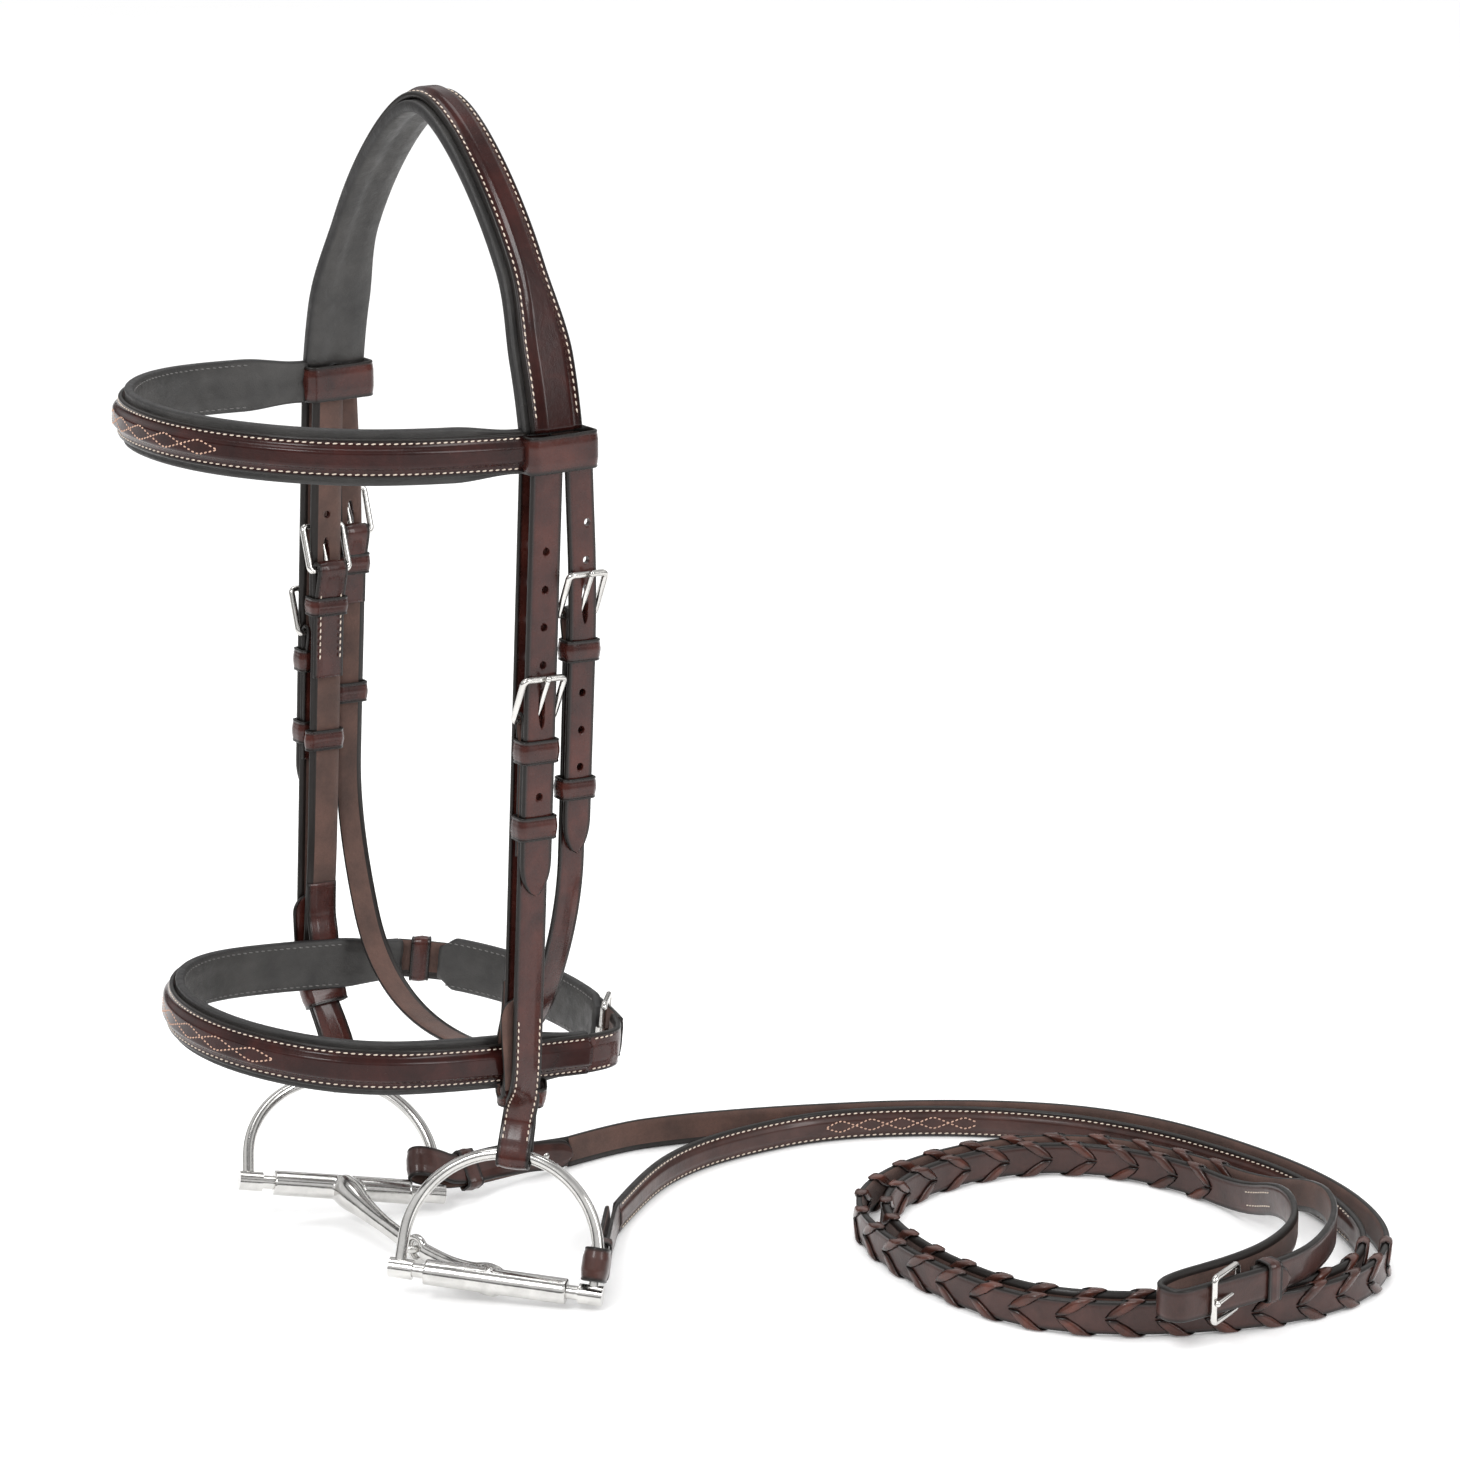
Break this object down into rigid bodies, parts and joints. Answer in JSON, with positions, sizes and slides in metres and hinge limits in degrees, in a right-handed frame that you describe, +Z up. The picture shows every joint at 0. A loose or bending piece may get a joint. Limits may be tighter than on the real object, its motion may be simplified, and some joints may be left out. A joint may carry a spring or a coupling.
{
  "type": "snaffle bridle",
  "caption": "Padded hunter bridle hung by its crown, with a jointed dee-ring snaffle bit and laced reins laid in a coil and buckled together.",
  "frame": {"origin": "underside of the crown, where it rests on the poll", "axes": "+X towards the horse's left (near) side, -Y forward to the nose, +Z up"},
  "size_m": [0.4487, 0.5066, 0.536],
  "materials": {
    "strap_leather": "glossy dark havana bridle leather with cream stitching",
    "rein_leather": "dark havana rein leather, laced",
    "padding_leather": "matt charcoal padding leather",
    "bit_metal": "polished stainless steel",
    "buckle_metal": "polished nickel plate"
  },
  "bodies": {
    "bridle": {"browband_leather": "strap_leather", "browband_padding": "padding_leather", "crown_padding": "padding_leather", "headpiece_leather": "strap_leather", "jaw_keeper": "strap_leather", "jaw_padding": "padding_leather", "jaw_strap": "strap_leather", "near_browband_loop": "strap_leather", "near_cheek_buckle": "buckle_metal", "near_cheek_keeper": "strap_leather", "near_cheekpiece": "strap_leather", "near_dee": "bit_metal", "near_lower_keeper": "strap_leather", "near_noseband_hanger": "strap_leather", "near_rein": "rein_leather", "near_rein_end": "rein_leather", "near_rein_hand": "rein_leather", "near_throat_buckle": "buckle_metal", "near_throat_keeper": "strap_leather", "noseband_buckle": "buckle_metal", "noseband_chape": "strap_leather", "noseband_leather": "strap_leather", "noseband_padding": "padding_leather", "off_browband_loop": "strap_leather", "off_cheek_buckle": "buckle_metal", "off_cheek_keeper": "strap_leather", "off_cheekpiece": "strap_leather", "off_dee": "bit_metal", "off_hanger_billet": "strap_leather", "off_hanger_buckle": "buckle_metal", "off_hanger_keeper": "strap_leather", "off_lower_keeper": "strap_leather", "off_noseband_hanger": "strap_leather", "off_rein": "rein_leather", "off_rein_end": "rein_leather", "off_rein_hand": "rein_leather", "off_throat_buckle": "buckle_metal", "off_throat_keeper": "strap_leather", "rein_buckle": "buckle_metal", "rein_coil": "rein_leather", "rein_keeper": "rein_leather", "throatlatch_strap": "strap_leather"},
    "near_mouth": {"near_cannon": "bit_metal"},
    "off_mouth": {"off_cannon": "bit_metal"},
    "near_cheek_pin": {"near_cheek_tongue": "buckle_metal"},
    "off_cheek_pin": {"off_cheek_tongue": "buckle_metal"},
    "near_throat_pin": {"near_throat_tongue": "buckle_metal"},
    "off_throat_pin": {"off_throat_tongue": "buckle_metal"},
    "off_hanger_pin": {"off_hanger_tongue": "buckle_metal"},
    "noseband_pin": {"noseband_tongue": "buckle_metal"},
    "rein_pin": {"rein_tongue": "buckle_metal"},
    "near_cheek_slider": {"near_cheek_runner": "strap_leather"},
    "off_cheek_slider": {"off_cheek_runner": "strap_leather"},
    "near_throat_slider": {"near_throat_runner": "strap_leather"},
    "off_throat_slider": {"off_throat_runner": "strap_leather"}
  },
  "joints": [
    {"name": "near_mouth_fold", "type": "hinge", "parent": "bridle", "child": "near_mouth", "pos_m": [0.104, -0.038, -0.5145], "axis": [0.6929, 0.7166, -0.0796], "range_deg": [-5, 7]},
    {"name": "off_mouth_fold", "type": "hinge", "parent": "bridle", "child": "off_mouth", "pos_m": [-0.026, -0.043, -0.509], "axis": [0.3609, 0.9194, -0.1563], "range_deg": [-7, 5]},
    {"name": "near_cheek_tongue_lift", "type": "hinge", "parent": "bridle", "child": "near_cheek_pin", "pos_m": [0.096, -0.00949, -0.25669], "axis": [0, 0.999, -0.0454], "range_deg": [0, 10]},
    {"name": "off_cheek_tongue_lift", "type": "hinge", "parent": "bridle", "child": "off_cheek_pin", "pos_m": [-0.096, -0.00949, -0.25669], "axis": [0, -0.999, 0.0454], "range_deg": [0, 10]},
    {"name": "near_throat_tongue_lift", "type": "hinge", "parent": "bridle", "child": "near_throat_pin", "pos_m": [0.098, 0.01238, -0.21164], "axis": [0, 0.999, -0.0454], "range_deg": [0, 10]},
    {"name": "off_throat_tongue_lift", "type": "hinge", "parent": "bridle", "child": "off_throat_pin", "pos_m": [-0.098, 0.01238, -0.21164], "axis": [0, -0.999, 0.0454], "range_deg": [0, 10]},
    {"name": "off_hanger_tongue_lift", "type": "hinge", "parent": "bridle", "child": "off_hanger_pin", "pos_m": [-0.086, -0.00803, -0.22473], "axis": [0, -0.999, 0.0454], "range_deg": [0, 1]},
    {"name": "noseband_tongue_lift", "type": "hinge", "parent": "bridle", "child": "noseband_pin", "pos_m": [0.0535, 0.05275, -0.42616], "axis": [0, -0.1115, -0.9938], "range_deg": [0, 10]},
    {"name": "rein_tongue_lift", "type": "hinge", "parent": "bridle", "child": "rein_pin", "pos_m": [0.3245, 0.212, -0.5], "axis": [0, 0, 1], "range_deg": [0, 10]},
    {"name": "near_cheek_runner_slide", "type": "slide", "parent": "bridle", "child": "near_cheek_slider", "axis": [0, 0.0454, 0.999], "range_m": [-0.02, 0.02]},
    {"name": "off_cheek_runner_slide", "type": "slide", "parent": "bridle", "child": "off_cheek_slider", "axis": [0, 0.0454, 0.999], "range_m": [-0.02, 0.02]},
    {"name": "near_throat_runner_slide", "type": "slide", "parent": "bridle", "child": "near_throat_slider", "axis": [0, 0.0454, 0.999], "range_m": [-0.015, 0.02]},
    {"name": "off_throat_runner_slide", "type": "slide", "parent": "bridle", "child": "off_throat_slider", "axis": [0, 0.0454, 0.999], "range_m": [-0.015, 0.02]}
  ],
  "couplings": [
    {"joint": "off_mouth_fold", "follows": "near_mouth_fold", "ratio": -0.6404}
  ]
}
